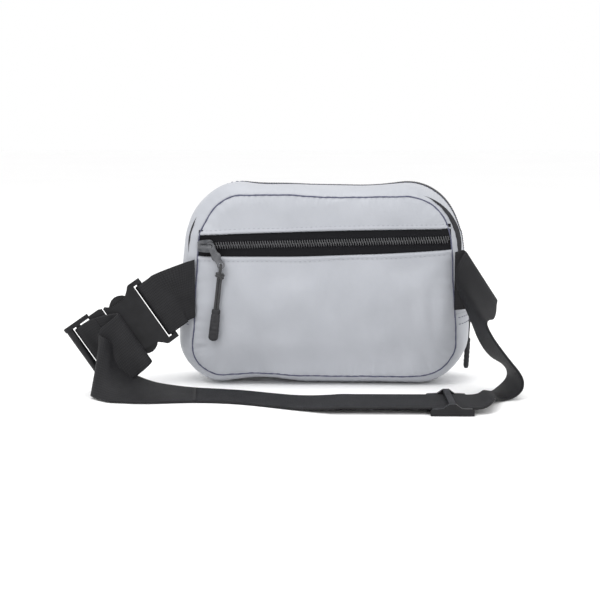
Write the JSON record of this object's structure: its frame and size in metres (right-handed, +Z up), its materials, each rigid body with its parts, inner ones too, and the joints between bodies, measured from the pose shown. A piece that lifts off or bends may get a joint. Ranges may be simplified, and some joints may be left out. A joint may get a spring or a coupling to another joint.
{
  "type": "belt bag",
  "caption": "Zipped belt bag standing upright, with a flat zip pocket, rounded side walls, and a webbing belt with side release buckle and tri-glide.",
  "frame": {"origin": "floor point under the middle of the bag body", "axes": "+Z up, zip pocket face towards -Y, buckle end of the belt on the -X side"},
  "size_m": [0.293, 0.142, 0.1324],
  "materials": {
    "shell_cloth": "satin woven nylon",
    "lining_cloth": "plain weave",
    "piping_cloth": "folded nylon edge",
    "zip_tape": "herringbone tape",
    "zip_coil": "satin nylon coil",
    "zip_metal": "dark nickel",
    "cord_cloth": "braided",
    "grip_rubber": "matt",
    "webbing": "ribbed webbing",
    "buckle_plastic": "fine matt"
  },
  "bodies": {
    "bag": {"bag_panel_upper": "shell_cloth", "bag_panel_lower": "shell_cloth", "pocket_lining": "lining_cloth", "far_panel": "shell_cloth", "near_gusset": "shell_cloth", "far_gusset": "shell_cloth", "lower_gusset": "shell_cloth", "near_piping": "piping_cloth", "far_piping": "piping_cloth", "pocket_tape_upper": "zip_tape", "pocket_tape_lower": "zip_tape", "pocket_coil": "zip_coil", "main_tape_near": "zip_tape", "main_tape_far": "zip_tape", "main_coil": "zip_coil", "short_strap": "webbing", "socket": "buckle_plastic", "strap_bend": "webbing", "strap_run": "webbing"},
    "plug": {"plug": "buckle_plastic", "strap_bight": "webbing"},
    "prong_upper": {"prong_upper": "buckle_plastic"},
    "prong_lower": {"prong_lower": "buckle_plastic"},
    "triglide": {"triglide": "buckle_plastic"},
    "pocket_slider": {"pocket_slider": "zip_metal", "pocket_bail": "zip_metal"},
    "pocket_tab": {"pocket_tab": "zip_metal"},
    "pocket_puller": {"pocket_cord": "cord_cloth", "pocket_knot": "cord_cloth", "pocket_grip": "grip_rubber"},
    "main_slider": {"main_slider": "zip_metal", "main_bail": "zip_metal"},
    "main_tab": {"main_tab": "zip_metal"},
    "main_puller": {"main_cord": "cord_cloth", "main_knot": "cord_cloth", "main_grip": "grip_rubber"}
  },
  "joints": [
    {"name": "buckle_release", "type": "slide", "parent": "bag", "child": "plug", "axis": [-0.8036, -0.2228, -0.5519], "range_m": [0, 0.022], "deforming": ["prong_upper", "prong_lower", "strap_bend"]},
    {"name": "prong_upper_squeeze", "type": "hinge", "parent": "plug", "child": "prong_upper", "pos_m": [-0.13724, -0.03694, 0.04635], "axis": [0.1807, -0.9748, 0.1304], "range_deg": [-12, 0], "stiffness_Nm_per_rad": 0.05},
    {"name": "prong_lower_squeeze", "type": "hinge", "parent": "plug", "child": "prong_lower", "pos_m": [-0.12499, -0.03705, 0.02856], "axis": [0.1807, -0.9748, 0.1304], "range_deg": [0, 12], "stiffness_Nm_per_rad": 0.05},
    {"name": "triglide_slide", "type": "slide", "parent": "bag", "child": "triglide", "axis": [-1, 0, 0], "range_m": [0, 0.05]},
    {"name": "pocket_zip_slide", "type": "slide", "parent": "bag", "child": "pocket_slider", "axis": [0.9997, 0, 0.0262], "range_m": [0, 0.145]},
    {"name": "pocket_tab_swing", "type": "hinge", "parent": "pocket_slider", "child": "pocket_tab", "pos_m": [-0.07377, -0.0326, 0.09307], "axis": [0, -1, 0], "range_deg": [-2, 60]},
    {"name": "pocket_puller_swing", "type": "hinge", "parent": "pocket_tab", "child": "pocket_puller", "pos_m": [-0.06709, -0.0326, 0.08077], "axis": [0, -1, 0], "range_deg": [-2, 65]},
    {"name": "main_zip_slide", "type": "slide", "parent": "bag", "child": "main_slider", "axis": [0, 0, 1], "range_m": [0, 0.022]},
    {"name": "main_tab_swing", "type": "hinge", "parent": "main_slider", "child": "main_tab", "pos_m": [0.0988, 0.008, 0.0608], "axis": [1, 0, 0], "range_deg": [-15, 60]},
    {"name": "main_puller_swing", "type": "hinge", "parent": "main_tab", "child": "main_puller", "pos_m": [0.0988, 0.008, 0.0468], "axis": [1, 0, 0], "range_deg": [-15, 60]}
  ]
}
